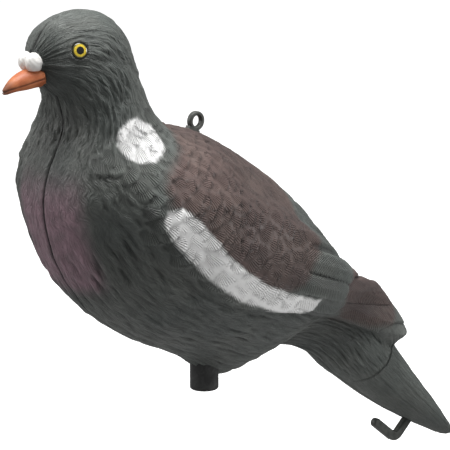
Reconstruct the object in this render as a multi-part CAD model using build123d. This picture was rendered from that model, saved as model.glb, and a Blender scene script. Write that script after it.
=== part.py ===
from build123d import *
from collections import namedtuple
from math import cos, hypot, pi, radians, sin
import os

# Full-body wood pigeon decoy: two moulded half shells, closed on the mid-plane round a bill, a peg
# tube that the bird turns on, a hanging ring and a tail hook.
# Millimetres, +Z up. The bird looks along -Y, its left side is +X, and it is symmetric about X = 0.
# The origin is the centre of the peg tube's mouth.

os.makedirs("parts", exist_ok=True)

# ---- Driving dimensions -------------------------------------------------------------------------
WALL = 2.4                  # shell wall
SEAM_GAP = 0.4              # open line between the two half shells
SIDE_STEPS = 12             # spans in one half section's curve
LOFT_SPANS = 60             # spans along the bird, worked out between the stations

TUBE_OUTER_R = 8.0
TUBE_BORE_R = 6.1           # takes a 12 mm stake
TUBE_LENGTH = 50.0
TUBE_BORE_DEPTH = 46.0
TUBE_RUNNING_GAP = 0.08     # radial, between the tube and the shells' collar
FLANGE_R = 12.0
FLANGE_Z = 30.2
FLANGE_THICK = 3.2
FLANGE_SIDE_GAP = 0.2       # above and below the flange in its groove
FLANGE_RIM_GAP = 0.4
COLLAR_R = 15.0
COLLAR_TOP = 46.0
GUSSET_REACH = 34.0         # the web that stiffens the collar, out from the mid-plane

SEAM_PIN_R = 2.0
SEAM_PIN_LENGTH = 14.0
CROSS_PIN_R = 1.5
CROSS_PIN_LENGTH = 15.0
PIN_FIT = 0.02
PIN_END_GAP = 0.2
BOSS_WALL = 2.6
INSERT_FIT = 0.1            # round the parts held between the halves

RING_CENTRE = (-5.8, 151.2)         # y, z
RING_HOLE_R = 3.0
RING_BAR = 2.3                      # radial width of the ring's bar
RING_THICK = 3.2                    # across the bird
RING_ROUNDING = 0.8
RING_LEAN = 27.0                    # degrees from vertical, square to the bird's back
RING_ROOT_LENGTH = 17.0
RING_ROOT_WIDTH = 8.0
RING_PIN_DEPTH = 12.5

HOOK_WIDTH = 5.6
HOOK_THICK = 4.5
HOOK_ROUNDING = 1.1
HOOK_BEND_R = 5.0
HOOK_TIP = (140.2, -51.8)           # y, z along the hook's centre line
HOOK_CORNER = (157.0, -65.2)
HOOK_ROOT = (177.0, -48.0)
HOOK_PIN = (174.4, -50.3)

EYE_CENTRE = Vector(18.7, -100.5, 200.7)
EYE_AXIS = Vector(0.907, -0.351, 0.231)
EYE_R = 3.9
EYE_DOME_R = 5.2
EYE_PROUD = 1.0
EYE_SEAT = 2.2                      # depth of the round seat that the eye sits in
EYE_STEM_R = 1.5
EYE_STEM_LENGTH = 8.0
EYE_BOSS_R = 5.6
EYE_BOSS_DEPTH = 5.0
WASHER_R = 3.8
WASHER_THICK = 0.8

BILL_ROOT_Z = 187.0
BILL_BASE_Y = -112.0
BILL_FLANGE_Y = -103.0
BILL_INNER_Y = -100.0

# One cross-section of the bird, square to its spine. back and belly are (y, z) points on the
# mid-plane. widest is where the widest point lies, as a fraction of the way from belly to back.
# A power of 2 rounds that half as an ellipse, and less makes it more of a keel.
Station = namedtuple("Station", "back belly half_width widest back_power belly_power")

STATIONS = [
    Station((-115.5, 201.5), (-112.0, 186.5), 7.0, 0.50, 2.00, 2.00),     # face
    Station((-110.5, 209.0), (-108.0, 181.0), 14.0, 0.50, 2.00, 2.00),
    Station((-99.5, 215.8), (-101.0, 175.0), 19.5, 0.50, 2.00, 2.10),     # eyes
    Station((-86.0, 218.2), (-98.5, 168.0), 23.0, 0.50, 2.00, 2.30),      # crown
    Station((-71.5, 215.0), (-97.5, 161.0), 25.5, 0.47, 1.95, 2.40),
    Station((-61.0, 202.0), (-99.0, 154.0), 29.0, 0.43, 1.90, 2.40),
    Station((-56.5, 186.0), (-103.0, 146.0), 33.5, 0.42, 1.90, 2.30),     # neck
    Station((-51.0, 170.0), (-108.0, 136.0), 39.5, 0.42, 1.90, 2.10),
    Station((-41.0, 157.0), (-111.0, 121.0), 48.5, 0.46, 1.95, 1.95),
    Station((-15.0, 148.3), (-107.0, 98.0), 57.5, 0.50, 1.95, 1.80),      # breast
    Station((12.0, 134.5), (-91.0, 69.0), 62.5, 0.50, 1.88, 1.75),
    Station((39.5, 115.5), (-62.0, 44.5), 63.5, 0.52, 1.86, 1.75),
    Station((64.0, 93.0), (-22.0, 24.0), 56.0, 0.57, 1.88, 1.60),         # belly
    Station((82.0, 74.0), (17.0, 6.0), 45.0, 0.64, 1.90, 1.25),           # keel behind the tube
    Station((95.0, 59.5), (40.0, 15.5), 37.0, 0.66, 1.90, 1.30),
    Station((108.0, 45.0), (72.0, 9.5), 31.0, 0.60, 1.90, 1.50),          # vent
    Station((131.0, 18.0), (103.0, -13.0), 25.0, 0.50, 1.90, 1.90),
    Station((156.0, -13.0), (138.0, -38.0), 22.0, 0.50, 1.90, 1.90),
    Station((181.5, -41.5), (172.0, -58.0), 17.0, 0.50, 1.90, 2.00),
    Station((199.5, -63.0), (197.0, -71.0), 11.0, 0.50, 2.00, 2.00),      # tail tip
]
FIRST_HOLLOW = 1            # the face ahead of this station is solid
LAST_HOLLOW = 18            # the tail tip behind this station is solid

# The folded left wing is a raised blade: what its side outline cuts from a swollen body.
# The right wing mirrors it. Each entry is a station's index, how far it swells, and the power of
# its back half; more than 2 squares the swollen section off, which lifts the wing tip off the tail.
WING_SWELL = [
    (8, 1.5, 2.0),
    (9, 3.0, 2.0),
    (10, 4.5, 2.0),
    (11, 5.5, 2.0),
    (12, 6.0, 2.0),
    (13, 6.0, 2.1),
    (14, 6.0, 2.2),
    (15, 6.0, 2.4),
    (16, 5.0, 3.0),
    (17, 4.0, 3.0),
]

# The wing's side outline, as (y, z): along its lower edge to the tip, then back along the top
WING_LOWER_EDGE = [
    (-82, 136), (-80, 120), (-71, 102), (-52, 82), (-20, 62), (25, 46), (72, 31), (111, 16), (132, 10),
]
WING_TIP = (139, 15)
WING_UPPER_EDGE = [
    (124, 35), (108, 47), (84, 63), (60, 82), (32, 104), (4, 122), (-32, 133), (-62, 140),
]
WING_INNER_X = 15.0         # the blade stays this far from the mid-plane

# Seam pins, as (y, z), each just inside the outline of the mid-plane
SEAM_PINS = [
    (-82.0, 210.0),     # crown
    (-63.5, 184.0),     # nape
    (-105.0, 121.0),    # breast
    (-59.0, 49.4),      # belly
    (35.0, 109.5),      # back
    (89.5, 55.0),       # rump
    (74.0, 17.5),       # vent
]


# ---- The half shells ----------------------------------------------------------------------------
def half_section(station, inset):
    """Closed wire of the left half of a section: a curve from back to belly, and a straight seam."""
    back = Vector(0, *station.back)
    belly = Vector(0, *station.belly)
    middle = belly + (back - belly) * station.widest
    width = station.half_width - inset
    points = []
    for step in range(SIDE_STEPS + 1):
        angle = pi * step / SIDE_STEPS
        towards_back = step * 2 <= SIDE_STEPS
        power = station.back_power if towards_back else station.belly_power
        end = back if towards_back else belly
        reach = (end - middle).normalized() * ((end - middle).length - inset)
        across = width * abs(sin(angle)) ** (2 / power)
        points.append(middle + reach * abs(cos(angle)) ** (2 / power) + Vector(across, 0, 0))
    points[0] = Vector(0, points[0].Y, points[0].Z)
    points[-1] = Vector(0, points[-1].Y, points[-1].Z)
    spacing = [step / SIDE_STEPS for step in range(SIDE_STEPS + 1)]
    side = Edge.make_spline(points, tangents=[(1, 0, 0), (-1, 0, 0)], parameters=spacing, scale=True)
    seam = Edge.make_line(points[-1], points[0])
    return Wire([side, seam])


def flat(station):
    return [*station.back, *station.belly, *station[2:]]


def stations_between(stations, spans):
    """Stations at equal steps along the spine, on a cubic curve through the given ones."""
    rows = [flat(station) for station in stations]
    places = [0.0]
    for row, after in zip(rows, rows[1:]):
        step_y = (after[0] + after[2] - row[0] - row[2]) / 2
        step_z = (after[1] + after[3] - row[1] - row[3]) / 2
        places.append(places[-1] + hypot(step_y, step_z))

    def slopes(index):
        if index == 0 or index == len(rows) - 1:
            near = min(index, len(rows) - 2)
            gap = places[near + 1] - places[near]
            return [(b - a) / gap for a, b in zip(rows[near], rows[near + 1])]
        left = places[index] - places[index - 1]
        right = places[index + 1] - places[index]
        triples = zip(rows[index - 1], rows[index], rows[index + 1])
        return [(right * (b - a) / left + left * (c - b) / right) / (left + right) for a, b, c in triples]

    result = []
    for step in range(spans + 1):
        place = places[-1] * step / spans
        index = max(i for i in range(len(rows) - 1) if places[i] <= place + 1e-9)
        gap = places[index + 1] - places[index]
        u = (place - places[index]) / gap
        values = []
        for a, b, slope_a, slope_b in zip(rows[index], rows[index + 1], slopes(index), slopes(index + 1)):
            ends = a * (1 + 2 * u) * (1 - u) ** 2 + b * u ** 2 * (3 - 2 * u)
            bends = gap * (slope_a * u * (1 - u) ** 2 + slope_b * u ** 2 * (u - 1))
            values.append(ends + bends)
        result.append(Station((values[0], values[1]), (values[2], values[3]), *values[4:]))
    return result


def half_body(stations, inset):
    sections = [half_section(station, inset) for station in stations_between(stations, LOFT_SPANS)]
    return Solid.make_loft(sections)


def wing():
    """The folded wing that is moulded on the left half shell."""
    swollen = []
    for index, swell, power in WING_SWELL:
        station = STATIONS[index]
        back = Vector(*station.back)
        belly = Vector(*station.belly)
        out = (back - belly).normalized() * swell
        back = back + out
        belly = belly - out
        swollen.append(Station((back.X, back.Y), (belly.X, belly.Y), station.half_width + swell,
                               station.widest, power, 2.2))
    lower = Spline(WING_LOWER_EDGE + [WING_TIP])
    upper = Spline([WING_TIP] + WING_UPPER_EDGE)
    front = Line(WING_UPPER_EDGE[-1], WING_LOWER_EDGE[0])
    outline = make_face([lower, upper, front])
    return half_body(swollen, 0) & extrude(Plane.YZ.offset(WING_INNER_X) * outline, 100)


def cross_rod(radius, y, z, half_length):
    """A round rod across the bird, centred on the mid-plane."""
    return Pos(0, y, z) * Rot(0, 90, 0) * Cylinder(radius, 2 * half_length)


def upright(radius, low, high):
    """A round, upright cylinder on the peg tube's axis."""
    return Pos(0, 0, (low + high) / 2) * Cylinder(radius, high - low)


def eye_plane():
    return Plane(origin=EYE_CENTRE, z_dir=EYE_AXIS)


def on_eye_axis(radius, low, high):
    """A cylinder on the left eye's axis; heights are measured out from the shell's surface."""
    return eye_plane() * Pos(0, 0, (low + high) / 2) * Cylinder(radius, high - low)


def bosses():
    """Solid places inside the left half, which the hollow leaves standing."""
    reach = SEAM_PIN_LENGTH / 2 + BOSS_WALL
    pads = [cross_rod(SEAM_PIN_R + BOSS_WALL, y, z, reach) for y, z in SEAM_PINS]
    web = Pos(0, 0, COLLAR_TOP / 2) * Box(2 * GUSSET_REACH, WALL, COLLAR_TOP)
    pads.append(upright(COLLAR_R, 0, COLLAR_TOP) + web)
    pads.append(extrude(upright_ellipse(BILL_INNER_Y + 3, BILL_ROOT_Z, 9.2, 9.2), 20))
    pads.append(on_eye_axis(EYE_BOSS_R, -EYE_BOSS_DEPTH, EYE_BOSS_DEPTH))
    pads.append(Plane.YZ * Pos(-9.5, 143) * Rot(0, 0, -RING_LEAN) * Box(19, 26, 22))
    pads.append(Plane.YZ * Pos(HOOK_PIN[0], HOOK_PIN[1]) * Box(24, 40, 22))
    return pads


def left_half_shell():
    outside = half_body(STATIONS, 0)
    hollow = half_body(STATIONS[FIRST_HOLLOW:LAST_HOLLOW + 1], WALL)
    for pad in bosses():
        hollow = hollow - pad
    shell = outside + wing()
    seam = Pos(-50, 40, 70) * Box(100 + SEAM_GAP, 500, 500)
    shell = shell - seam - hollow
    for opening in shell_openings():
        shell = shell - opening
    return shell


def shell_openings():
    """Everything that is cut out of the left half for the parts that it holds."""
    groove_low = FLANGE_Z - FLANGE_SIDE_GAP
    groove_high = FLANGE_Z + FLANGE_THICK + FLANGE_SIDE_GAP
    cuts = [
        upright(TUBE_OUTER_R + TUBE_RUNNING_GAP, -5, COLLAR_TOP + 5),
        upright(FLANGE_R + FLANGE_RIM_GAP, groove_low, groove_high),
        on_eye_axis(EYE_R + PIN_FIT, -EYE_SEAT, 6),
        on_eye_axis(EYE_STEM_R + PIN_FIT, -EYE_BOSS_DEPTH - 3, 0),
        bill_root(INSERT_FIT),
        bill_outside(INSERT_FIT),
        ring_root(INSERT_FIT),
        hook_bar(INSERT_FIT),
    ]
    seam_hole = SEAM_PIN_LENGTH / 2 + PIN_END_GAP
    cross_hole = CROSS_PIN_LENGTH / 2 + PIN_END_GAP
    for y, z in SEAM_PINS:
        cuts.append(cross_rod(SEAM_PIN_R + PIN_FIT, y, z, seam_hole))
    for y, z in (ring_pin_place(), HOOK_PIN):
        cuts.append(cross_rod(CROSS_PIN_R + PIN_FIT, y, z, cross_hole))
    return cuts


# ---- Bill and eyes ------------------------------------------------------------------------------
def upright_ellipse(y, z, half_width, half_height):
    return Plane(origin=(0, y, z), x_dir=(1, 0, 0), z_dir=(0, -1, 0)) * Ellipse(half_width, half_height)


def bill_root(fit):
    """The bill's root: a short neck with a flange, held between the halves."""
    neck = extrude(upright_ellipse(BILL_INNER_Y + fit, BILL_ROOT_Z, 4.6 + fit, 4.4 + fit),
                   BILL_INNER_Y - BILL_BASE_Y + 4)
    flange = extrude(upright_ellipse(BILL_INNER_Y + fit, BILL_ROOT_Z, 6.4 + fit, 6.2 + fit),
                     BILL_INNER_Y - BILL_FLANGE_Y + 2 * fit)
    return neck + flange


def bill_outside(fit):
    # y, z, half width and half height of the sections from the face to the tip
    outline = [
        (-113.0, 187.0, 7.0, 5.6),
        (-118.0, 186.4, 6.3, 5.2),
        (-124.2, 185.4, 4.9, 4.6),
        (-129.6, 183.7, 3.3, 3.4),
        (-133.0, 182.0, 1.9, 2.2),
        (-134.7, 181.3, 0.9, 1.1),
    ]
    sections = [upright_ellipse(y + fit, z, wide + fit, high + fit).wire() for y, z, wide, high in outline]
    beak = Solid.make_loft(sections)
    for side in (-1, 1):
        beak = beak + Pos(side * 2.7, -117.0, 194.6) * Sphere(4.6 + fit)
    return beak


def bill():
    return bill_outside(0) + bill_root(0)


def left_eye():
    dome_centre = EYE_PROUD - EYE_DOME_R
    dome = eye_plane() * Pos(0, 0, dome_centre) * Sphere(EYE_DOME_R)
    body = on_eye_axis(EYE_R, -EYE_SEAT, 5) & dome
    stem = on_eye_axis(EYE_STEM_R, -EYE_STEM_LENGTH, -EYE_SEAT + 0.5)
    return body + stem


def left_washer():
    top = -EYE_BOSS_DEPTH
    disc = on_eye_axis(WASHER_R, top - WASHER_THICK, top)
    return disc - on_eye_axis(EYE_STEM_R, top - 2, top + 2)


# ---- Peg tube, ring and hook --------------------------------------------------------------------
def peg_tube():
    tube = upright(TUBE_OUTER_R, 0, TUBE_LENGTH)
    tube += upright(FLANGE_R, FLANGE_Z, FLANGE_Z + FLANGE_THICK)
    tube -= upright(TUBE_BORE_R, -1, TUBE_BORE_DEPTH)
    rims = tube.edges().filter_by(GeomType.CIRCLE).group_by(Axis.Z)[0]
    return chamfer(rims, 0.5)


def down_the_ring_root(distance):
    """(y, z) at a distance below the ring's centre, into the bird's back."""
    lean = radians(RING_LEAN)
    return RING_CENTRE[0] - distance * sin(lean), RING_CENTRE[1] - distance * cos(lean)


def ring_pin_place():
    return down_the_ring_root(RING_PIN_DEPTH)


def ring_root(fit):
    """The flat root of the ring, from just under its hole down into the back."""
    start = RING_HOLE_R + RING_BAR / 2
    y, z = down_the_ring_root((start + RING_ROOT_LENGTH) / 2)
    length = RING_ROOT_LENGTH - start + 2 * fit
    plate = Box(RING_THICK + 2 * fit, RING_ROOT_WIDTH + 2 * fit, length)
    return Pos(0, y, z) * Rot(-RING_LEAN, 0, 0) * plate


def hanging_ring():
    middle = RING_HOLE_R + RING_BAR / 2
    bar = Pos(0, middle) * RectangleRounded(RING_THICK, RING_BAR, RING_ROUNDING)
    ring = Pos(0, *RING_CENTRE) * revolve(bar, Axis.X)
    pin_y, pin_z = ring_pin_place()
    ring = ring + ring_root(0)
    ring = ring - cross_rod(RING_HOLE_R, *RING_CENTRE, RING_THICK)
    return ring - cross_rod(CROSS_PIN_R + PIN_FIT, pin_y, pin_z, RING_THICK)


def hook_bar(fit):
    """The bent bar of the tail hook, rounded at both ends."""
    spine = FilletPolyline(HOOK_TIP, HOOK_CORNER, HOOK_ROOT, radius=HOOK_BEND_R)
    outline = spine.wire().offset_2d(HOOK_WIDTH / 2 + fit, side=Side.BOTH)
    half = HOOK_THICK / 2 + fit
    return extrude(Plane.YZ * make_face(outline), half, both=True)


def tail_hook():
    hook = hook_bar(0)
    flat_sides = hook.edges().filter_by(lambda edge: abs(abs(edge.center().X) - HOOK_THICK / 2) < 0.01)
    hook = fillet(flat_sides, HOOK_ROUNDING)
    return hook - cross_rod(CROSS_PIN_R + PIN_FIT, *HOOK_PIN, HOOK_THICK)


# ---- Nodes --------------------------------------------------------------------------------------
def both_sides(piece):
    return Compound([piece, mirror(piece, about=Plane.YZ)])


left_shell = left_half_shell()
eye = left_eye()

nodes = {
    "left_shell": left_shell,
    "right_shell": mirror(left_shell, about=Plane.YZ),
    "bill": bill(),
    "left_eye": eye,
    "right_eye": mirror(eye, about=Plane.YZ),
    "eye_washers": both_sides(left_washer()),
    "peg_tube": peg_tube(),
    "hanging_ring": hanging_ring(),
    "ring_cross_pin": cross_rod(CROSS_PIN_R, *ring_pin_place(), CROSS_PIN_LENGTH / 2),
    "tail_hook": tail_hook(),
    "hook_cross_pin": cross_rod(CROSS_PIN_R, *HOOK_PIN, CROSS_PIN_LENGTH / 2),
    "seam_pins": Compound([cross_rod(SEAM_PIN_R, y, z, SEAM_PIN_LENGTH / 2) for y, z in SEAM_PINS]),
}

for name, shape in nodes.items():
    export_step(shape, f"parts/{name}.step")
    print(name, "solids:", len(shape.solids()), "volume:", round(shape.volume, 1))
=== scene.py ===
import math

import bmesh
import bpy
import numpy as np
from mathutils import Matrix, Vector


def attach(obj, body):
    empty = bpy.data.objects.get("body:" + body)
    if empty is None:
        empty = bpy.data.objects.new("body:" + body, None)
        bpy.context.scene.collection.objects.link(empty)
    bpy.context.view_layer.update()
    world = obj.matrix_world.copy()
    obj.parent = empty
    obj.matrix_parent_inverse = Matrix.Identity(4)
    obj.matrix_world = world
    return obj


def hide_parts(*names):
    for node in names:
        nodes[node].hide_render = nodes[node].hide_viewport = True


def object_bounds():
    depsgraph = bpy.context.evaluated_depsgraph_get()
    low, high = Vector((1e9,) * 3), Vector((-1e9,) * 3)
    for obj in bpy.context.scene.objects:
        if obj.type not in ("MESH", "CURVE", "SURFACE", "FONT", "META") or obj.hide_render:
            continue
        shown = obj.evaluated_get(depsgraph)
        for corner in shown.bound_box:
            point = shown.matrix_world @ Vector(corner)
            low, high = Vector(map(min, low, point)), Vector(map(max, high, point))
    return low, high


# The looks of a moulded wood pigeon decoy. Lengths are worked out in millimetres in the CAD model's
# frame and written in metres. The bird looks along -Y, its left side is +X and +Z is up.

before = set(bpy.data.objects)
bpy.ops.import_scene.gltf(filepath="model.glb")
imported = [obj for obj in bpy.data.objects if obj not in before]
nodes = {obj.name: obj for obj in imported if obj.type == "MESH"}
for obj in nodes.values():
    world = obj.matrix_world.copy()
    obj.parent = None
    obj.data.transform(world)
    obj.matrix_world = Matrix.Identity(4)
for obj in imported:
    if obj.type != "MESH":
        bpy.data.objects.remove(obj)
cad_low, cad_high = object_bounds()
MM = 0.001

# ---- Driving values -----------------------------------------------------------------------------
ROWS = 440       # mesh rows from face to tail tip
COLUMNS = 200    # mesh columns from the back to the belly, on one side
INNER_COLUMNS = 14
CAP_ROWS = 7                            # rows that round off the face and the tail tip
FACE_BULGE, TAIL_BULGE = 3.0, 2.0
WALL = 2.4
SEAM_HALF_GAP = 0.02                    # the CAD's wider gap would let light through
SIDE_GIRTH = 180.0                      # nominal length from back to belly round one side
HEAD_GIRTH = 72.0
OTHER_SIDE = 400.0                      # moves the right half's fine strokes on, so they don't mirror
FAR = 1e9                               # a distance beyond anything on the bird
OUTSIDE = -30.0                         # depth inside a painted area, for points well clear of it
ROOT_LIFT = 0.05                        # share of a small feather's lift at its root
BARB_JUMP = 2.4                         # a step in barb value that marks a feather's edge

EYE_AXIS = np.array([0.907, -0.351, 0.231])
EYE_CENTRE = np.array([18.7, -100.5, 200.7])
EYE_R = 3.9
LOBE_CENTRE = (2.7, -117.0, 194.6)      # of the cere's left lobe
MOUTH_LINE = [(-113, 186.6), (-118.5, 185.4), (-125, 183.8), (-131, 182.6), (-135.5, 181.0)]

CAMERA_PLACE = (0.848, -0.775, 0.358)   # metres
CAMERA_DIRECTION = (-0.7126, 0.6645, -0.2250)
CAMERA_SENSOR, CAMERA_LENS = 36, 172.8
FLOOR_DROP, FLOOR_HALF = 0.12, 4.0      # metres

# Cross-sections of the bird, from face to tail tip: the back's y and z, the belly's y and z, the
# half width, where the widest point lies from belly to back, the powers of the back and belly
# halves, how far the folded wing stands out there, and the power of the wing's back half.
HALF_WIDTH, WIDEST, BACK_POWER, BELLY_POWER, WING_SWELL, WING_POWER = range(4, 10)
STATIONS = [
    (-115.5, 201.5, -112.0, 186.5, 7.0, 0.50, 2.00, 2.00, 0.0, 2.0),
    (-110.5, 209.0, -108.0, 181.0, 14.0, 0.50, 2.00, 2.00, 0.0, 2.0),
    (-99.5, 215.8, -101.0, 175.0, 19.5, 0.50, 2.00, 2.10, 0.0, 2.0),
    (-86.0, 218.2, -98.5, 168.0, 23.0, 0.50, 2.00, 2.30, 0.0, 2.0),
    (-71.5, 215.0, -97.5, 161.0, 25.5, 0.47, 1.95, 2.40, 0.0, 2.0),
    (-61.0, 202.0, -99.0, 154.0, 29.0, 0.43, 1.90, 2.40, 0.0, 2.0),
    (-56.5, 186.0, -103.0, 146.0, 33.5, 0.42, 1.90, 2.30, 0.0, 2.0),
    (-51.0, 170.0, -108.0, 136.0, 39.5, 0.42, 1.90, 2.10, 0.5, 2.0),
    (-41.0, 157.0, -111.0, 121.0, 48.5, 0.46, 1.95, 1.95, 1.5, 2.0),
    (-15.0, 148.3, -107.0, 98.0, 57.5, 0.50, 1.95, 1.80, 3.0, 2.0),
    (12.0, 134.5, -91.0, 69.0, 62.5, 0.50, 1.88, 1.75, 4.5, 2.0),
    (39.5, 115.5, -62.0, 44.5, 63.5, 0.52, 1.86, 1.75, 5.5, 2.0),
    (64.0, 93.0, -22.0, 24.0, 56.0, 0.57, 1.88, 1.60, 6.0, 2.0),
    (82.0, 74.0, 17.0, 6.0, 45.0, 0.64, 1.90, 1.25, 6.0, 2.1),
    (95.0, 59.5, 40.0, 15.5, 37.0, 0.66, 1.90, 1.30, 6.0, 2.2),
    (108.0, 45.0, 72.0, 9.5, 31.0, 0.60, 1.90, 1.50, 6.3, 2.4),
    (131.0, 18.0, 103.0, -13.0, 25.0, 0.50, 1.90, 1.90, 7.5, 3.0),
    (156.0, -13.0, 138.0, -38.0, 22.0, 0.50, 1.90, 1.90, 7.5, 3.0),
    (181.5, -41.5, 172.0, -58.0, 17.0, 0.50, 1.90, 2.00, 0.0, 2.0),
    (199.5, -63.0, 197.0, -71.0, 11.0, 0.50, 2.00, 2.00, 0.0, 2.0),
]

# The folded wing's side outline: y, z, and over how many millimetres its edge rises there.
WING_OUTLINE = [
    (-88, 134, 20), (-89, 123, 9), (-83, 110, 5), (-70, 93, 4), (-56, 79, 3.5), (-28, 60, 3),
    (0, 53, 2.5), (34, 45, 2.2), (71, 32, 2.2), (100, 20, 2.0), (120, 12, 1.8), (131, 9, 1.8),
    (137, 9, 1.8), (140, 12, 1.8), (140, 18, 1.8), (136, 26, 2.0), (126, 39, 2.5), (109, 51, 6),
    (84, 65, 12), (60, 84, 16),
    (32, 106, 18), (4, 124, 18), (-32, 136, 18), (-62, 144, 20), (-80, 142, 20),
]

# Painted areas on the bird's side, as y and z.
WING_BAR = [
    (-76, 121), (-68, 122), (-60, 115), (-52, 105), (-43, 94), (-31, 84), (-18, 75), (-2, 68),
    (16, 61), (31, 57), (27, 49), (3, 53), (-18, 62), (-29, 66), (-44, 76), (-58, 87), (-66, 97),
    (-72, 103), (-76, 110), (-78, 116),
]
NECK_PATCH = [
    (-82, 165), (-76, 166), (-68, 161), (-63, 155), (-64, 150), (-68, 147), (-75, 144), (-82, 144),
    (-88, 147), (-90, 153), (-88, 160),
]
BROWN_BACK = [
    (-34, 175), (-40, 158), (-53, 148), (-63, 142), (-71, 138), (-74, 132), (-74, 123), (-66, 119),
    (-52, 103), (-43, 92), (-31, 82), (-18, 73), (0, 67), (12, 69), (19, 79), (27, 85), (29, 91),
    (24, 99), (32, 112), (44, 126), (40, 170),
]
BROWN_TIPS = [
    (62, 64), (57, 53), (64, 42), (71, 33), (92, 26), (104, 23), (116, 21), (122, 27), (124, 36),
    (112, 50), (92, 66), (74, 72),
]

# Long feathers of the folded wing, root and tip as y and z, then width and lift.
LONG_FEATHERS = [
    (50, 34, 144, 10, 19, 0.9),
    (52, 45, 134, 27, 15, 1.35),
    (50, 58, 124, 40, 15, 1.7),
    (44, 74, 102, 60, 17, 2.0),
    (30, 92, 80, 72, 18, 2.3),
    (10, 62, 62, 45, 12, 0.9),
    (4, 73, 59, 54, 12, 1.6),
    (10, 85, 66, 62, 13, 2.0),
    (12, 99, 73, 69, 15, 2.3),
]

# Feathers of the white bar: root as y and z, then size.
BAR_FEATHERS = [
    (-70, 116, 9), (-62, 106, 9), (-52, 96, 9), (-43, 85, 9), (-31, 77, 9), (-19, 70, 8),
    (-7, 64, 8), (5, 60, 7), (16, 57, 6),
]
BAR_DIRECTION = np.array([0.0, 0.72, -0.62])

# Grooves along the tail: share of the way from back to belly, depth, and width as a share.
TAIL_GROOVES = [
    (0.225, 1.0, 0.012), (0.27, 0.5, 0.009), (0.31, 0.55, 0.009), (0.35, 0.5, 0.009),
    (0.40, 0.35, 0.009), (0.52, 0.3, 0.010), (0.66, 0.3, 0.012),
]
PITS = [(-43, 117), (-31, 104), (-31, 118), (-35, 101), (66, 67), (-8, 92)]
PIT_SPREAD = 1.1


def rows_between(count):
    """Cross-sections at equal steps along the spine, on a cubic curve through the stations."""
    rows = np.array(STATIONS, float)
    middles = (rows[:, 0:2] + rows[:, 2:4]) / 2
    steps = np.linalg.norm(np.diff(middles, axis=0), axis=1)
    places = np.concatenate([[0.0], np.cumsum(steps)])
    rise = np.diff(rows, axis=0) / steps[:, None]
    slopes = np.empty_like(rows)
    slopes[0], slopes[-1] = rise[0], rise[-1]
    inner = steps[1:, None] * rise[:-1] + steps[:-1, None] * rise[1:]
    slopes[1:-1] = inner / (steps[1:] + steps[:-1])[:, None]
    place = np.linspace(0, places[-1], count)
    index = np.clip(np.searchsorted(places, place, side="right") - 1, 0, len(rows) - 2)
    gap = steps[index][:, None]
    u = (place - places[index])[:, None] / gap
    ends = rows[index] * (1 + 2 * u) * (1 - u) ** 2 + rows[index + 1] * u**2 * (3 - 2 * u)
    bends = gap * (slopes[index] * u * (1 - u) ** 2 + slopes[index + 1] * u**2 * (u - 1))
    return ends + bends, place


def section_points(rows, angles, swell, back_power, inset=0.0):
    """Points round the left half of each cross-section, from back to belly."""
    back, belly = rows[:, 0:2], rows[:, 2:4]
    axis = (back - belly) / np.linalg.norm(back - belly, axis=1)[:, None]
    back = back + axis * (swell - inset)[:, None]
    belly = belly - axis * (swell - inset)[:, None]
    middle = belly + (back - belly) * rows[:, WIDEST, None]
    upper = np.cos(angles) >= 0
    power = np.where(upper[None, :], back_power[:, None], rows[:, BELLY_POWER, None])
    across = (rows[:, HALF_WIDTH] + swell - inset)[:, None] * np.abs(np.sin(angles)) ** (2 / power)
    reach = np.abs(np.cos(angles)) ** (2 / power)
    end = np.where(upper[None, :, None], back[:, None], belly[:, None])
    plane = middle[:, None] + (end - middle[:, None]) * reach[:, :, None]
    return np.concatenate([across[:, :, None], plane], axis=2)


def smoothstep(value):
    """Rises smoothly from 0 to 1 as the value goes from 0 to 1."""
    value = np.clip(value, 0, 1)
    return value * value * (3 - 2 * value)


def hump(*offsets):
    """1 where every offset is 0, and close to 0 beyond 2."""
    return np.exp(-sum(offset**2 for offset in offsets))


def to_segment(a, b, y, z):
    """Distance in the side view to the line from a to b, and how far along it the nearest point is."""
    run = b[:2] - a[:2]
    share = np.clip(((y - a[0]) * run[0] + (z - a[1]) * run[1]) / (run @ run), 0, 1)
    return np.hypot(y - a[0] - share * run[0], z - a[1] - share * run[1]), share


def distance_to_run(y, z, run):
    """Distance in the side view to a line through the run's points."""
    points = np.array(run, float)
    return np.min([to_segment(a, b, y, z)[0] for a, b in zip(points[:-1], points[1:])], axis=0)


def inside_distance(outline, y, z):
    """Distance inside a closed outline in the side view, negative outside, and the outline's third
    value at the nearest point."""
    points = np.array(outline, float)
    best = np.full(y.shape, FAR)
    third = np.zeros(y.shape)
    inside = np.zeros(y.shape, bool)
    for a, b in zip(points, np.roll(points, -1, axis=0)):
        gap, share = to_segment(a, b, y, z)
        nearer = gap < best
        best = np.where(nearer, gap, best)
        if len(a) > 2:
            third = np.where(nearer, a[2] + share * (b[2] - a[2]), third)
        if a[1] != b[1]:
            crossing = a[0] + (z - a[1]) * (b[0] - a[0]) / (b[1] - a[1])
            inside ^= ((a[1] > z) != (b[1] > z)) & (y < crossing)
    return np.where(inside, best, -best), third


def evenly_along(points, values, count):
    """Resamples each row of points, and the values that go with it, at equal arc lengths."""
    lengths = np.linalg.norm(np.diff(points, axis=1), axis=2)
    arc = np.concatenate([np.zeros((len(points), 1)), np.cumsum(lengths, axis=1)], axis=1)
    packed = np.concatenate([points, values], axis=2)
    result = np.empty((len(points), count, packed.shape[2]))
    for row in range(len(points)):
        wanted = np.linspace(0, arc[row, -1], count)
        for channel in range(packed.shape[2]):
            result[row, :, channel] = np.interp(wanted, arc[row], packed[row, :, channel])
    return result[:, :, :3], result[:, :, 3:], arc[:, -1]


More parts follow.
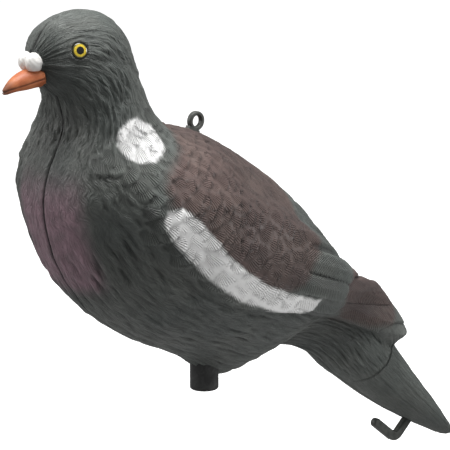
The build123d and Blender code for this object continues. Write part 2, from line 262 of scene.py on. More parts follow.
def blur(grid, times):
    """The grid with each value averaged with its neighbours, a number of times."""
    for _ in range(times):
        padded = np.pad(grid, ((1, 1), (0, 0)), mode="edge")
        grid = (padded[:-2] + 2 * padded[1:-1] + padded[2:]) / 4
        padded = np.pad(grid, ((0, 0), (1, 1)), mode="edge")
        grid = (padded[:, :-2] + 2 * padded[:, 1:-1] + padded[:, 2:]) / 4
    return grid


def streaks(along, across, length, width, seed):
    """Smooth random streaks from 0 to 1, long in one direction and narrow in the other."""
    random = np.random.default_rng(seed)
    columns = int(across.max() / width) + 3
    rows = int(along.max() / length) + 4
    shift = random.random(columns)
    table = random.random((rows, columns))
    low = np.floor(across / width).astype(int)
    part = smoothstep(across / width - low)
    total = np.zeros(across.shape)
    for step, weight in ((0, 1 - part), (1, part)):
        column = low + step
        place = along / length + shift[column]
        row = np.floor(place).astype(int)
        mix = smoothstep(place - row)
        total += weight * (table[row, column] * (1 - mix) + table[row + 1, column] * mix)
    return total


# ---- The left half's smooth surface -------------------------------------------------------------
def capped(points, middle, forward, bulge):
    """Rows that carry the first row of points on to one pole, bulging forward."""
    rows = []
    for step in range(CAP_ROWS, 0, -1):
        angle = math.pi / 2 * step / CAP_ROWS
        shrunk = middle + (points[0] - middle) * math.cos(angle)
        rows.append(shrunk + forward * bulge * math.sin(angle))
    return np.concatenate([np.array(rows), points])


def with_caps(points, rows, face_bulge, tail_bulge):
    """Closes a half surface at the face and at the tail tip."""
    def centre(row):
        back, belly = row[0:2], row[2:4]
        return np.array([0, *(belly + (back - belly) * row[WIDEST])])

    face = centre(rows[0])
    tail = centre(rows[-1])
    ahead = face - centre(rows[4])
    behind = tail - centre(rows[-5])
    points = capped(points, face, ahead / np.linalg.norm(ahead), face_bulge)
    points = capped(points[::-1], tail, behind / np.linalg.norm(behind), tail_bulge)[::-1]
    return points


def left_surface():
    """The smooth outer and inner surfaces, and what is known at each outer point."""
    rows, place = rows_between(ROWS)
    angles = np.linspace(0, math.pi, 721)
    zero = np.zeros(len(rows))
    inner_angles = np.linspace(0, math.pi, INNER_COLUMNS)
    wing_swell = np.maximum(rows[:, WING_SWELL], 0)
    wing_power = np.maximum(rows[:, WING_POWER], 1.9)
    body = section_points(rows, angles, zero, rows[:, BACK_POWER])
    swollen = section_points(rows, angles, wing_swell, wing_power)
    inner = section_points(rows, inner_angles, zero, rows[:, BACK_POWER], WALL)
    depth, softness = inside_distance(WING_OUTLINE, swollen[:, :, 1], swollen[:, :, 2])
    sideways = smoothstep((swollen[:, :, 0] - 9) / 5)
    mask = smoothstep(depth / np.maximum(softness, 1)) * sideways
    outer = body + (swollen - body) * mask[:, :, None]
    outer, known, girth = evenly_along(outer, np.stack([mask, depth], axis=2), COLUMNS)
    outer = with_caps(outer, rows, FACE_BULGE, TAIL_BULGE)
    inner = with_caps(inner, rows, FACE_BULGE - WALL, TAIL_BULGE - WALL)
    ends = ((CAP_ROWS, CAP_ROWS), (0, 0))
    mask = np.pad(known[:, :, 0], ends, mode="edge")
    depth = np.pad(known[:, :, 1], ends, mode="edge")
    place = np.concatenate([np.zeros(CAP_ROWS), place, np.full(CAP_ROWS, place[-1])])
    girth = np.pad(girth, CAP_ROWS, mode="edge")
    outer[:, :, 0] = np.maximum(outer[:, :, 0], 0) + SEAM_HALF_GAP
    inner[:, :, 0] = np.maximum(inner[:, :, 0], 0) + SEAM_HALF_GAP
    return outer, inner, mask, depth, place, girth


outer, inner, wing_mask, wing_depth, place, girth = left_surface()
along_step = np.gradient(outer, axis=0)
across_step = np.gradient(outer, axis=1)
normal = np.cross(across_step, along_step)
normal /= np.maximum(np.linalg.norm(normal, axis=2), 1e-9)[:, :, None]
if normal[ROWS // 2, COLUMNS // 2, 0] < 0:
    normal = -normal
for edge in (0, -1):
    normal[:, edge, 0] = 0
    normal[:, edge] /= np.maximum(np.linalg.norm(normal[:, edge], axis=1), 1e-9)[:, None]
flow = along_step / np.maximum(np.linalg.norm(along_step, axis=2), 1e-9)[:, :, None]
X, Y, Z = outer[:, :, 0], outer[:, :, 1], outer[:, :, 2]
fraction = np.broadcast_to(np.linspace(0, 1, COLUMNS)[None, :], Y.shape)
along = np.broadcast_to(place[:, None], Y.shape)
row_step = place[-1] / ROWS

bar_depth, _ = inside_distance(WING_BAR, Y, Z)
neck_depth, _ = inside_distance(NECK_PATCH, Y, Z)
brown_depth, _ = inside_distance(BROWN_BACK, Y, Z)
tips_depth, _ = inside_distance(BROWN_TIPS, Y, Z)
on_side = X > 8
bar_depth = np.where(on_side, bar_depth, OUTSIDE)
neck_depth = np.where(on_side, neck_depth, OUTSIDE)

# ---- Feather relief -----------------------------------------------------------------------------
relief = np.zeros(Y.shape)
barb = np.zeros(Y.shape)
tone = np.full(Y.shape, 0.5)
feathered = np.zeros(Y.shape)
random = np.random.default_rng(7)


def stamp(row, column, length, width, lift, turn=0.0, direction=None, edge=0.9, square=0.5,
          side_edge=0.0):
    """One feather, rooted at a grid point, raised towards its round tip. Where feathers overlap,
    the higher one shows. A side_edge makes a long wing feather: flat across, with side edges that
    wide, slanted barbs, and nothing beyond the wing."""
    root = outer[row, column]
    up = normal[row, column]
    ahead = flow[row, column] if direction is None else direction
    ahead = ahead - up * (ahead @ up)
    ahead /= np.linalg.norm(ahead)
    side = np.cross(up, ahead)
    turned = ahead * math.cos(turn) + side * math.sin(turn)
    side = side * math.cos(turn) - ahead * math.sin(turn)
    ahead = turned
    column_step = girth[row] / COLUMNS
    reach = 1.25 * (length + width)
    rows_reach, columns_reach = int(reach / row_step * 1.4) + 2, int(reach / column_step) + 2
    window = (
        slice(max(row - rows_reach, 0), min(row + rows_reach, Y.shape[0])),
        slice(max(column - columns_reach, 0), min(column + columns_reach, Y.shape[1])),
    )
    offset = outer[window] - root
    u = offset @ ahead / length
    v = offset @ side / (width / 2)
    near = np.abs(offset @ up) < 12     # not a part of the surface that has curved far away
    rounded = np.sqrt(np.clip(1 - v**2, 0, 1))
    tip = square + (1 - square) * rounded
    if side_edge:
        sides = smoothstep((1 - np.abs(v)) * width / 2 / side_edge) * wing_mask[window]
        rise = smoothstep(u / 0.4)
        barbs = 0.6 * u * length - 0.9 * np.abs(v) * width / 2
    else:
        sides = rounded * (np.abs(v) < 1)
        rise = ROOT_LIFT + (1 - ROOT_LIFT) * np.clip(u, 0, 1) ** 1.5
        barbs = v * width / 2 / (0.55 + np.clip(u, 0, 1.2)) * 1.3
    height = lift * rise * smoothstep((tip - u) * length / edge) * sides
    height = np.where((u > -0.15) & near, height, 0)
    wins = height > relief[window]
    relief[window] = np.where(wins, height, relief[window])
    barb[window] = np.where(wins, barbs + 0.25 * random.random(), barb[window])
    tone[window] = np.where(wins, random.random(), tone[window])
    feathered[window] = np.where(wins, 1.0, feathered[window])


def nearest(y, z):
    """Row and column of the surface point at y and z, on the part that faces sideways."""
    gap = (Y - y) ** 2 + (Z - z) ** 2 + np.where(normal[:, :, 0] > 0.15, 0, FAR)
    return np.unravel_index(np.argmin(gap), gap.shape)


def lay_scallops():
    """Rows of small feathers over the neck patch, the shoulder and the brown of the back."""
    row_pitch, feather_pitch = 5.2, 6.4
    length, width = 9.0, 12.5
    for index, distance in enumerate(np.arange(60, place[-1] * 0.8, row_pitch)):
        row = int(np.searchsorted(place, distance))
        count = int(girth[row] / feather_pitch)
        for item in range(count):
            share = (item + 0.5 * (index % 2) + 0.25 * random.uniform(-1, 1)) / count
            column = int(share * (COLUMNS - 1))
            if not 0 <= column < COLUMNS:
                continue
            jitter = row + int(random.uniform(-1.0, 1.0) / row_step)
            y, z = Y[jitter, column], Z[jitter, column]
            turn = random.uniform(-0.35, 0.35)
            if bar_depth[jitter, column] > 2:
                continue
            in_neck = neck_depth[jitter, column] > -9
            in_brown = brown_depth[jitter, column] > -6
            in_shoulder = wing_depth[jitter, column] > 0 and y < 10 and z > 95
            if not (in_neck or in_brown or in_shoulder) or y > 40 and z < 70:
                continue
            # Towards the tail the feathers are larger and flatter.
            soft = smoothstep((y + 45) / 40)
            size = random.uniform(0.8, 1.35) * (1 + 0.3 * soft)
            lift = random.uniform(0.8, 1.7) * (1 - 0.9 * soft)
            if neck_depth[jitter, column] > 0:
                lift *= 0.6
            stamp(jitter, column, length * size, width * size, lift, turn, square=0.35)


def lay_bar():
    """Feathers of the white wing bar, three side by side, which point down across it."""
    for y, z, size in BAR_FEATHERS:
        for side in (-1, 0, 1):
            row, column = nearest(y + side * 3 - 5, z + side * 4 + 3)
            turn = 0.25 * side + random.uniform(-0.15, 0.15)
            stamp(row, column, size * 1.6, size * 2.0, 0.30 + 0.08 * side, turn, BAR_DIRECTION,
                  edge=4.0, square=0.3)


def lay_long_feathers():
    """The folded wing's long feathers, each from its root to its tip."""
    for root_y, root_z, tip_y, tip_z, width, lift in LONG_FEATHERS:
        row, column = nearest(root_y, root_z)
        end = nearest(tip_y, tip_z)
        run = outer[end] - outer[row, column]
        stamp(row, column, float(np.linalg.norm(run)), width, lift, direction=run,
              edge=1.6, square=0.8, side_edge=1.0)


lay_scallops()
lay_bar()
lay_long_feathers()

# Barbs fade out where one feather gives way to the next.
jump = np.maximum(np.abs(np.gradient(barb, axis=0)), np.abs(np.gradient(barb, axis=1)))
barb_share = 1 - smoothstep(blur(np.where(jump > BARB_JUMP, 1.0, 0.0), 1) * 1.7)

# Hair-like strokes where there are no feathers. They are calmer on the crown and round the bill, and
# stronger on the neck.
wing_end = smoothstep(wing_mask * 2) * smoothstep((Y - 90) / 15)
hairy = (1 - blur(feathered, 3)) * (1 - wing_end)
head = smoothstep((118 - along) / 40)
body_across = fraction * SIDE_GIRTH
head_across = fraction * HEAD_GIRTH


def hair_streaks(on_body, on_head):
    """Streaks of the body's length, width and seed that change over to the head's."""
    body_part = streaks(along, body_across, *on_body) * (1 - head)
    return body_part + streaks(along, head_across, *on_head) * head


coarse = hair_streaks((11.0, 2.2, 11), (7.0, 1.5, 12))
fine = hair_streaks((7.0, 1.1, 13), (5.0, 0.8, 14))
calm = 1 - 0.65 * smoothstep((Z - 207) / 8) * head - 0.5 * smoothstep((-99 - Y) / 6) * head
neck = smoothstep((Y + 104) / 14) * smoothstep((along - 25) / 20) * smoothstep((150 - along) / 40)
strength = hairy * np.maximum(calm, 0.2) * (1 + 0.7 * neck)
relief += strength * ((coarse - 0.5) * 1.25 + (fine - 0.5) * 0.8)
relief += (1 - hairy) * (streaks(along, body_across, 5.0, 2.0, 15) - 0.5) * 0.5

# The tail is smoother, with grooves along it.
off_wing = 1 - smoothstep(wing_mask * 2)
tail = smoothstep((along - place[-1] * 0.74) / 20) * off_wing
groove = np.zeros(Y.shape)
for share, depth, width in TAIL_GROOVES:
    groove = np.maximum(groove, depth * hump((fraction - share) / width))
relief -= tail * (groove + relief * 0.75)

# A raised rim round the eye, and a socket that the eye fills.
to_eye = outer - EYE_CENTRE
from_eye = np.linalg.norm(to_eye - (to_eye @ EYE_AXIS)[:, :, None] * EYE_AXIS, axis=2)
from_eye = np.where(X > 5, from_eye, FAR)
relief *= smoothstep((from_eye - 3) / 4)
relief += 0.75 * hump((from_eye - 5.0) / 0.8) - 1.6 * (1 - smoothstep((from_eye - 3.2) / 1.0))

# The seam's dip, moulding pits, and no relief on the caps.
from_seam = np.minimum(fraction, 1 - fraction) * girth[:, None]
relief *= smoothstep(from_seam / 1.5 + 0.15)
relief -= 0.8 * hump(from_seam / 0.75)
for y, z in PITS:
    relief -= np.exp(-((Y - y) ** 2 + (Z - z) ** 2) / PIT_SPREAD) * on_side
cap_fade = np.minimum(np.arange(len(place)), np.arange(len(place))[::-1]) / CAP_ROWS
relief *= smoothstep(cap_fade)[:, None]
# How far each point lies below the blurred relief round it: the paint turns this into painted shade in
# hollows and painted highlight on ridges.
cavity = blur(relief, 6) - relief

surface = outer + normal * relief[:, :, None]
surface[:, :, 0] = np.maximum(surface[:, :, 0], SEAM_HALF_GAP)
for edge in (0, -1):
    surface[:, edge, 0] = SEAM_HALF_GAP

# Painted light and shade, region by region: lighter where the lamps fall on the crown, the tertials,
# the shoulder, the tail end and the lower bar, and darker on the breast. Then where the paint is pink,
# and where it is nearly black: a painted shadow along the seam and the eye's dark rim.
crown = smoothstep((Z - 203) / 12)
tertials = hump((Y - 62) / 18, (Z - 58) / 14) + hump((Y - 136) / 8, (Z - 18) / 9)
shoulder = hump((Y + 50) / 26, (Z - 136) / 16) * on_side
tail_end = smoothstep((along - place[-1] * 0.66) / 40) * off_wing
breast = hump((Z - 118) / 45) * smoothstep((fraction - 0.6) / 0.2) * smoothstep((-60 - Y) / 20)
lower_bar = smoothstep((Y + 60) / 30) * (bar_depth > -3)
painted_light_and_shade = (1 + 0.38 * crown + 0.5 * tertials + 0.5 * shoulder + 0.62 * tail_end
        - 0.2 * breast + 0.3 * lower_bar)
pink_height = smoothstep((142 - Z) / 26) * smoothstep((Z - 66) / 14)
pink = 0.75 * smoothstep((30 - X) / 12) * smoothstep((-84 - Y) / 12) * pink_height
# A painted shadow along the seam, weaker over the top of the head.
seam_painted_shadow = hump(from_seam / 0.8) * (1 - 0.8 * smoothstep((Z - 208) / 6))
rim_dark = hump((from_eye - 4.5) / 0.9)


# ---- Materials ----------------------------------------------------------------------------------
class Nodes:
    """Short names for adding linked shader nodes to one material."""

    def __init__(self, name):
        self.material = bpy.data.materials.new(name)
        self.material.use_nodes = True
        self.tree = self.material.node_tree
        self.shader = self.tree.nodes["Principled BSDF"]

    def put(self, socket, value):
        if isinstance(value, bpy.types.NodeSocket):
            self.tree.links.new(value, socket)
        elif isinstance(value, (tuple, list)) and len(value) == 3 and socket.type == "RGBA":
            socket.default_value = (*value, 1.0)
        else:
            socket.default_value = value

    def math(self, operation, a, b=0.0, c=None):
        node = self.tree.nodes.new("ShaderNodeMath")
        node.operation = operation
        self.put(node.inputs[0], a)
        self.put(node.inputs[1], b)
        if c is not None:
            self.put(node.inputs[2], c)
        return node.outputs[0]

    def swing(self, value, scale):
        """A 0 to 1 value made to swing about 0."""
        return self.math("MULTIPLY", self.math("SUBTRACT", value, 0.5), scale)

    def attribute(self, name):
        node = self.tree.nodes.new("ShaderNodeAttribute")
        node.attribute_name = name
        return node.outputs["Fac"]

    def place(self):
        return self.tree.nodes.new("ShaderNodeTexCoord").outputs["Object"]

    def noise(self, vector, scale, detail=3.0, roughness=0.55, distortion=0.0):
        node = self.tree.nodes.new("ShaderNodeTexNoise")
        self.put(node.inputs["Vector"], vector)
        node.inputs["Scale"].default_value = scale
        node.inputs["Detail"].default_value = detail
        node.inputs["Roughness"].default_value = roughness
        node.inputs["Distortion"].default_value = distortion
        return node.outputs["Fac"]

    def vector(self, x, y, z=0.0):
        node = self.tree.nodes.new("ShaderNodeCombineXYZ")
        for socket, value in zip(node.inputs, (x, y, z)):
            self.put(socket, value)
        return node.outputs[0]

    def ramp(self, value, low, high, out_low=0.0, out_high=1.0):
        node = self.tree.nodes.new("ShaderNodeMapRange")
        node.interpolation_type = "SMOOTHSTEP"
        self.put(node.inputs["Value"], value)
        limits = {"From Min": low, "From Max": high, "To Min": out_low, "To Max": out_high}
        for name, number in limits.items():
            node.inputs[name].default_value = number
        return node.outputs["Result"]

    def mix(self, share, a, b):
        node = self.tree.nodes.new("ShaderNodeMix")
        node.data_type = "RGBA"
        self.put(node.inputs["Factor"], share)
        self.put(node.inputs["A"], a)
        self.put(node.inputs["B"], b)
        return node.outputs["Result"]

    def shade(self, colour, amount):
        """The colour times a brightness."""
        node = self.tree.nodes.new("ShaderNodeVectorMath")
        node.operation = "SCALE"
        self.put(node.inputs[0], colour)
        self.put(node.inputs["Scale"], amount)
        return node.outputs[0]

    def finish(self, colour, roughness, height=None, distance=0.0002, specular=0.5, coat=0.0):
        self.put(self.shader.inputs["Base Color"], colour)
        self.put(self.shader.inputs["Roughness"], roughness)
        self.shader.inputs["Specular IOR Level"].default_value = specular
        self.shader.inputs["Coat Weight"].default_value = coat
        if height is not None:
            bump = self.tree.nodes.new("ShaderNodeBump")
            bump.inputs["Strength"].default_value = 1.0
            bump.inputs["Distance"].default_value = distance
            self.put(bump.inputs["Height"], height)
            self.put(self.shader.inputs["Normal"], bump.outputs[0])
        return self.material


def srgb(red, green, blue):
    """A colour given as it looks on a screen, 0 to 255, as linear light."""
    def linear(value):
        value /= 255
        return value / 12.92 if value <= 0.04045 else ((value + 0.055) / 1.055) ** 2.4

    return tuple(linear(value) for value in (red, green, blue))


def painted_plastic():
    """Grey plastic with sprayed brown, white and pink, moulded barbs and hair strokes, and painted
    light and shade.
    """
    n = Nodes("painted_plastic")
    place = n.place()
    head_share, hair = n.attribute("head"), n.attribute("hair")
    swirl = n.swing(n.noise(place, 60, 2), 9.0)

    def strokes_on(across, along_scale, across_scale):
        swirled = n.math("ADD", n.attribute(across), swirl)
        ahead = n.math("MULTIPLY", n.attribute("flow_s"), along_scale)
        return n.noise(n.vector(ahead, n.math("MULTIPLY", swirled, across_scale)), 1.0, 2, 0.6)

    strokes_body = strokes_on("flow_body", 0.16, 1.25)
    strokes_head = strokes_on("flow_head", 0.22, 1.5)
    strokes = n.math("ADD", n.math("MULTIPLY", strokes_body, n.math("SUBTRACT", 1.0, head_share)),
                     n.math("MULTIPLY", strokes_head, head_share))
    strokes = n.ramp(strokes, 0.3, 0.7)
    ripple = n.swing(n.noise(place, 260, 2), 3.4)
    barbs = n.math("SINE", n.math("ADD", n.math("MULTIPLY", n.attribute("barb"), 5.2), ripple))
    barbs = n.math("MULTIPLY_ADD", barbs, n.math("MULTIPLY", n.attribute("barb_share"), 0.5), 0.5)
    grain = n.noise(place, 900, 3)
    relief_share = n.math("ADD", n.math("MULTIPLY", strokes, hair),
                          n.math("MULTIPLY", barbs, n.math("SUBTRACT", 1.0, hair)))
    height = n.math("MULTIPLY_ADD", grain, 0.25, relief_share)

    ragged = n.swing(n.noise(place, 170, 3), 4.0)
    ragged = n.math("ADD", ragged, n.swing(relief_share, 0.8))
    blotch = n.noise(place, 28, 3)
    mottle = n.noise(place, 120, 4)
    grey = n.mix(n.ramp(blotch, 0.3, 0.7), srgb(78, 83, 80), srgb(92, 95, 91))
    brown = n.mix(n.ramp(blotch, 0.35, 0.7), srgb(77, 63, 60), srgb(90, 76, 71))
    spray = n.math("ADD", n.attribute("brown_depth"), n.math("MULTIPLY", ragged, 0.8))
    colour = n.mix(n.ramp(spray, -3.5, 3.5), grey, brown)
    blush = n.math("MULTIPLY", n.attribute("pink"), n.ramp(mottle, 0.2, 0.6, 0.55, 0.95))
    colour = n.mix(blush, colour, srgb(168, 132, 146))
    edge = n.math("ADD", n.attribute("white_depth"), n.math("MULTIPLY", ragged, 0.7))
    white = n.ramp(edge, -1.0, 1.4)
    colour = n.mix(white, colour, srgb(229, 229, 228))
    hollow = n.attribute("cavity")
    # Painted shade in hollows and painted highlight on ridges and on the crests of the strokes and
    # barbs, less of both where the paint is white; then each feather's own tone, a mottle, and the
    # regions' painted light and shade.
    painted_shading_and_tone = n.math("ADD", n.ramp(hollow, 0.04, 0.55, 1.0, 0.50), n.ramp(hollow, 0.0, -0.5, 0.0, 0.22))
    painted_shading_and_tone = n.math("MULTIPLY", painted_shading_and_tone, n.ramp(relief_share, 0.0, 1.0, 0.78, 1.12))
    painted_shading_and_tone = n.math("MULTIPLY", painted_shading_and_tone, n.ramp(n.attribute("tone"), 0.0, 1.0, 0.92, 1.08))
    painted_shading_and_tone = n.math("MULTIPLY", painted_shading_and_tone, n.ramp(mottle, 0.25, 0.75, 0.93, 1.07))
    softer_shading_and_tone = n.math("MULTIPLY_ADD", n.math("SUBTRACT", painted_shading_and_tone, 1.0), 0.35, 1.0)
    kept = n.math("MULTIPLY", n.math("SUBTRACT", softer_shading_and_tone, painted_shading_and_tone), white)
    colour = n.shade(colour, n.math("MULTIPLY", n.math("ADD", painted_shading_and_tone, kept), n.attribute("painted_light_and_shade")))
    # Nearly black: a painted shadow along the seam, and the eye's dark rim.
    colour = n.mix(n.attribute("seam_shadow_and_eye_rim"), colour, srgb(14, 14, 13))
    roughness = n.math("ADD", n.ramp(mottle, 0.2, 0.8, 0.44, 0.60), n.math("MULTIPLY", hollow, 0.15))
    return n.finish(colour, roughness, height, 0.0005, 0.5)


def black_plastic():
    """Unpainted black plastic with scuffs."""
    n = Nodes("black_plastic")
    place = n.place()
    scuff = n.noise(place, 210, 4, 0.6, 1.2)
    grain = n.noise(place, 1400, 2)
    colour = n.mix(n.ramp(scuff, 0.35, 0.75), srgb(34, 34, 34), srgb(58, 59, 58))
    height = n.math("MULTIPLY_ADD", grain, 0.4, scuff)
    return n.finish(colour, n.ramp(scuff, 0.2, 0.8, 0.30, 0.50), height, 0.00010, 0.5)


def ring_plastic():
    """The ring's and the hook's dark grey plastic."""
    n = Nodes("ring_plastic")
    place = n.place()
    scuff = n.noise(place, 300, 4, 0.6)
    colour = n.mix(n.ramp(scuff, 0.3, 0.7), srgb(58, 60, 57), srgb(84, 86, 82))
    return n.finish(colour, n.ramp(scuff, 0.2, 0.8, 0.40, 0.58), n.noise(place, 900, 3), 0.00012, 0.45)


def steel():
    """Brushed steel for the cross pins and washers inside."""
    n = Nodes("brushed_steel")
    place = n.place()
    brushed = n.noise(place, 800, 4, 0.6, 2.0)
    colour = n.mix(n.ramp(brushed, 0.3, 0.7), srgb(150, 150, 152), srgb(190, 190, 192))
    n.shader.inputs["Metallic"].default_value = 1.0
    return n.finish(colour, n.ramp(brushed, 0.2, 0.8, 0.25, 0.42), brushed, 0.00003)


def bill_paint():
    """Orange with a darker tip and a white cere, and a mouth line and cere crease made dark with
    painted shade.
    """
    n = Nodes("bill_paint")
    place = n.place()
    blotch = n.noise(place, 150, 3)
    fine = n.noise(place, 900, 4)
    orange = n.mix(n.ramp(blotch, 0.3, 0.7), srgb(178, 98, 60), srgb(205, 126, 82))
    orange = n.mix(n.attribute("tip_dark"), orange, srgb(92, 62, 46))
    ragged = n.swing(blotch, 0.8)
    on_cere = n.ramp(n.math("ADD", n.attribute("cere"), ragged), 0.35, 0.65)
    colour = n.mix(on_cere, orange, srgb(236, 234, 230))
    # Painted shade in the mouth line's groove and the cere's crease.
    colour = n.shade(colour, n.ramp(n.attribute("cavity"), 0.0, 0.35, 1.0, 0.45))
    height = n.math("MULTIPLY_ADD", fine, 0.3, blotch)
    return n.finish(colour, n.ramp(fine, 0.2, 0.8, 0.38, 0.55), height, 0.0002, 0.45)


def eye_paint():
    """A black pupil in a yellow iris with a dark rim, under a clear coat."""
    n = Nodes("eye_paint")
    place = n.place()
    radius = n.attribute("radius")
    vein = n.noise(place, 1500, 3)
    iris = n.mix(n.ramp(vein, 0.3, 0.7), srgb(206, 172, 30), srgb(236, 212, 70))
    outside_pupil = n.ramp(n.math("MULTIPLY_ADD", vein, 0.2, radius), 2.0, 2.2)
    colour = n.mix(outside_pupil, srgb(12, 10, 8), iris)
    colour = n.mix(n.ramp(radius, 3.0, 3.4), colour, srgb(66, 64, 30))
    return n.finish(colour, n.ramp(vein, 0.2, 0.8, 0.06, 0.14), vein, 0.00002, 0.6, 0.6)


# ---- Meshes -------------------------------------------------------------------------------------
def write_values(mesh, values):
    """A float attribute on the mesh for each entry of values."""
    for key, numbers in values.items():
        attribute = mesh.attributes.new(key, "FLOAT", "POINT")
        attribute.data.foreach_set("value", np.asarray(numbers, np.float32).ravel())


def mesh_object(name, points, faces, values, material):
    """A smooth, closed mesh with a float attribute for each entry of values."""
    mesh = bpy.data.meshes.new(name)
    mesh.from_pydata((points * MM).tolist(), [], faces)
    write_values(mesh, values)
    mesh.materials.append(material)
    edit = bmesh.new()
    edit.from_mesh(mesh)
    bmesh.ops.remove_doubles(edit, verts=edit.verts, dist=1e-6)
    bmesh.ops.recalc_face_normals(edit, faces=edit.faces)
    for face in edit.faces:
        face.smooth = True
    edit.to_mesh(mesh)
    edit.free()
    piece = bpy.data.objects.new(name, mesh)
    bpy.context.scene.collection.objects.link(piece)
    return piece


def strip_faces(first, second):
    """Quads between two lists of vertex numbers of one length."""
    return np.stack([first[:-1], first[1:], second[1:], second[:-1]], axis=1).tolist()


def shell_piece(name, side, material):
    """One half shell: the feathered outside and the plain inside, joined along the seam."""
    count = outer.shape[0]
    outside = np.arange(count * COLUMNS).reshape(count, COLUMNS)
    inside = outside.size + np.arange(count * INNER_COLUMNS).reshape(count, INNER_COLUMNS)
    faces = []
    for column in range(COLUMNS - 1):
        faces += strip_faces(outside[:, column], outside[:, column + 1])
    for column in range(INNER_COLUMNS - 1):
        faces += strip_faces(inside[:, column], inside[:, column + 1])
    faces += strip_faces(outside[:, 0], inside[:, 0])
    faces += strip_faces(outside[:, -1], inside[:, -1])
    points = np.concatenate([surface.reshape(-1, 3), inner.reshape(-1, 3)]) * (side, 1, 1)
    hidden = np.zeros(inside.size)

    def known(grid, inner_value=0.0):
        return np.concatenate([np.broadcast_to(grid, outside.shape).ravel(), hidden + inner_value])

    shift = 0 if side > 0 else OTHER_SIDE
    values = {
        "flow_s": known(along),
        "flow_body": known(body_across + shift),
        "flow_head": known(head_across + shift),
        "head": known(head),
        "hair": known(hairy),
        "barb": known(barb),
        "barb_share": known(barb_share),
        "tone": known(tone),
        "cavity": known(cavity),
        "white_depth": known(np.maximum(bar_depth, neck_depth), OUTSIDE),
        "brown_depth": known(np.maximum(brown_depth, tips_depth), OUTSIDE),
        "pink": known(pink),
        "painted_light_and_shade": known(painted_light_and_shade, 1.0),
        "seam_shadow_and_eye_rim": known(np.clip(np.maximum(seam_painted_shadow, 0.75 * rim_dark), 0, 1), 1.0),
    }
    return mesh_object(name, points, faces, values, material)


def refined_copy(name, node, voxel, material):
    """A finer, evenly meshed copy of a CAD node, as a new mesh."""
    mesh = nodes[node].data.copy()
    piece = bpy.data.objects.new(name, mesh)
    bpy.context.scene.collection.objects.link(piece)
    remesh = piece.modifiers.new("remesh", "REMESH")
    remesh.mode = "VOXEL"
    remesh.voxel_size = voxel * MM
    smooth = piece.modifiers.new("smooth", "SMOOTH")
    smooth.iterations = 3
    graph = bpy.context.evaluated_depsgraph_get()
    piece.data = bpy.data.meshes.new_from_object(piece.evaluated_get(graph))
    piece.modifiers.clear()
    piece.data.materials.clear()
    piece.data.materials.append(material)
    piece.data.shade_smooth()
    return piece


def vertex_vectors(mesh, key):
    """The mesh's vertex places or normals, one row each."""
    flat = np.empty(len(mesh.vertices) * 3)
    mesh.vertices.foreach_get(key, flat)
    return flat.reshape(-1, 3)


def bill_piece():
    """The bill with its mouth line cut in and its cere wrinkled and made a little taller."""
    piece = refined_copy("bill_painted", "bill", voxel=0.30, material=bill_paint())
    points, outward = vertex_vectors(piece.data, "co") / MM, vertex_vectors(piece.data, "normal")
    x, y, z = points.T
    line = hump(distance_to_run(y, z, MOUTH_LINE) / 0.42)
    lobe_x, lobe_y, lobe_z = LOBE_CENTRE
    from_lobe = np.sqrt((np.abs(x) - lobe_x) ** 2 + (y - lobe_y) ** 2 + (z - lobe_z) ** 2)
    cere = smoothstep((5.0 - from_lobe) / 0.5) * smoothstep((z - 190.4) / 0.8)
    wrinkle = np.sin(x * 2.3 + 1.5 * np.sin(z * 0.9)) * np.sin(z * 1.6 + y * 0.9)
    crease = hump(x / 0.7)
    change = -0.55 * line * (1 - cere) + cere * (0.12 * wrinkle - 0.25 * crease)
    points += outward * change[:, None]
    points[:, 2] += 0.12 * cere * (points[:, 2] - lobe_z)
    tip = smoothstep((-127.5 - y) / 7)
    piece.data.vertices.foreach_set("co", (points * MM).ravel())
    # The cavity value is the painted shade in the mouth line and the cere's crease.
    write_values(piece.data, {
        "cere": cere,
        "tip_dark": tip * 0.75,
        "cavity": line * 0.35 * (1 - cere) + crease * cere * 0.12,
    })
    piece.data.update()
    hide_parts("bill")
    return piece


def eye_piece(name, side, material):
    """A glass-like eye: a domed face on a short drum, turned about the eye's axis."""
    turns = 72
    dome = np.linspace(0.12, math.pi / 2, 22)
    profile = [(0.0, 1.15)]
    profile += [(EYE_R * math.sin(angle), 0.15 + math.cos(angle)) for angle in dome]
    profile += [(EYE_R, -0.6), (EYE_R, -1.9), (EYE_R - 0.3, -2.2)]      # the drum
    profile += [(1.5, -2.2), (1.5, -7.8), (1.2, -8.0), (0.0, -8.0)]     # the stem behind it
    axis = EYE_AXIS * (side, 1, 1)
    centre = EYE_CENTRE * (side, 1, 1)
    first = np.cross(axis, [0, 0, 1])
    first /= np.linalg.norm(first)
    second = np.cross(axis, first)
    points, radii = [], []
    for radius, height in profile:
        for turn in range(turns):
            angle = 2 * math.pi * turn / turns
            outward = first * math.cos(angle) + second * math.sin(angle)
            points.append(centre + axis * height + radius * outward)
            radii.append(radius if height > -0.7 else EYE_R)
    grid = np.arange(len(points)).reshape(len(profile), turns)
    closed = np.concatenate([grid, grid[:, :1]], axis=1)
    faces = []
    for row in range(len(profile) - 1):
        faces += strip_faces(closed[row], closed[row + 1])
    piece = mesh_object(name, np.array(points), faces, {"radius": np.array(radii)}, material)
    return piece


# ---- Pieces on their bodies ---------------------------------------------------------------------
shell_paint = painted_plastic()
for node, side in (("left_shell", 1), ("right_shell", -1)):
    shell = shell_piece(f"{node}_painted", side, shell_paint)
    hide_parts(node)
    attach(shell, "bird")

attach(bill_piece(), "bird")

eye_material = eye_paint()
for node, side in (("left_eye", 1), ("right_eye", -1)):
    eye = eye_piece(f"{node}_painted", side, eye_material)
    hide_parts(node)
    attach(eye, "bird")


def finish_node(node, material):
    """Gives a CAD node its material."""
    data = nodes[node].data
    data.materials.clear()
    data.materials.append(material)


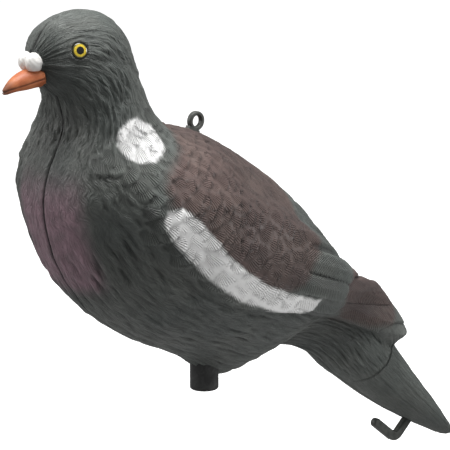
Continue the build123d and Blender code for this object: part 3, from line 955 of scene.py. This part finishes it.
black, ring_grey, plain_steel = black_plastic(), ring_plastic(), steel()
finish_node("peg_tube", black)
finish_node("seam_pins", black)
for node in ("hanging_ring", "tail_hook"):
    finish_node(node, ring_grey)
for node in ("eye_washers", "ring_cross_pin", "hook_cross_pin"):
    finish_node(node, plain_steel)


# ---- Camera, lights and floor -------------------------------------------------------------------
def camera():
    """The photo's view of the bird."""
    data = bpy.data.cameras.new("camera")
    data.sensor_width = CAMERA_SENSOR
    data.lens = CAMERA_LENS
    data.clip_end = 50
    eye = bpy.data.objects.new("camera", data)
    eye.location = CAMERA_PLACE
    eye.rotation_euler = Vector(CAMERA_DIRECTION).to_track_quat("-Z", "Y").to_euler()
    bpy.context.scene.collection.objects.link(eye)
    bpy.context.scene.camera = eye


def area_light(name, place, target, size, power):
    """A round lamp that faces its target, with its size in metres and its power in watts."""
    data = bpy.data.lights.new(name, "AREA")
    data.shape = "DISK"
    data.size = size
    data.energy = power
    lamp = bpy.data.objects.new(name, data)
    lamp.location = place
    lamp.rotation_euler = (Vector(target) - Vector(place)).to_track_quat("-Z", "Y").to_euler()
    bpy.context.scene.collection.objects.link(lamp)


def studio():
    """A white backdrop for the camera, and a soft glow that is stronger from above and below."""
    world = bpy.data.worlds.new("studio")
    bpy.context.scene.world = world
    world.use_nodes = True
    tree = world.node_tree
    background = tree.nodes["Background"]
    background.inputs["Color"].default_value = (1, 1, 1, 1)
    rays = tree.nodes.new("ShaderNodeLightPath")
    split = tree.nodes.new("ShaderNodeSeparateXYZ")
    tree.links.new(tree.nodes.new("ShaderNodeTexCoord").outputs["Generated"], split.inputs[0])
    glow = tree.nodes.new("ShaderNodeMapRange")
    for name, number in {"From Min": 0, "From Max": 1, "To Min": 0.2, "To Max": 0.6}.items():
        glow.inputs[name].default_value = number
    steepness = tree.nodes.new("ShaderNodeMath")
    steepness.operation = "ABSOLUTE"
    tree.links.new(split.outputs["Z"], steepness.inputs[0])
    tree.links.new(steepness.outputs[0], glow.inputs["Value"])
    brighter = tree.nodes.new("ShaderNodeMath")
    brighter.operation = "MAXIMUM"
    tree.links.new(rays.outputs["Is Camera Ray"], brighter.inputs[0])
    tree.links.new(glow.outputs["Result"], brighter.inputs[1])
    tree.links.new(brighter.outputs[0], background.inputs["Strength"])


def pale_floor():
    """A plain floor well below the bird, whose own glow doesn't light the bird."""
    mesh = bpy.data.meshes.new("floor")
    low = cad_low.z - FLOOR_DROP
    corners = [(x * FLOOR_HALF, y * FLOOR_HALF, low) for x, y in ((-1, -1), (1, -1), (1, 1), (-1, 1))]
    mesh.from_pydata(corners, [], [(0, 1, 2, 3)])
    floor = bpy.data.objects.new("floor", mesh)
    bpy.context.scene.collection.objects.link(floor)
    n = Nodes("pale_floor")
    grain = n.noise(n.place(), 12, 3)
    colour = n.mix(grain, srgb(226, 226, 226), srgb(232, 232, 232))
    n.finish(colour, n.ramp(grain, 0, 1, 0.6, 0.8), specular=0.1)
    n.shader.inputs["Emission Color"].default_value = (1, 1, 1, 1)
    n.shader.inputs["Emission Strength"].default_value = 0.7
    mesh.materials.append(n.material)
    floor.visible_diffuse = False
    floor.visible_glossy = False


camera()
studio()
pale_floor()
middle = (cad_low + cad_high) / 2
for name, spot, size, power in (
    ("top", (0.1, -0.1, 1.4), 1.0, 24),
    ("left", (-1.1, -0.8, 0.6), 0.8, 6.5),
    ("right", (1.2, 1.25, 0.5), 0.8, 11),
):
    area_light(name, spot, middle, size, power)
bpy.context.scene.view_settings.view_transform = "Standard"
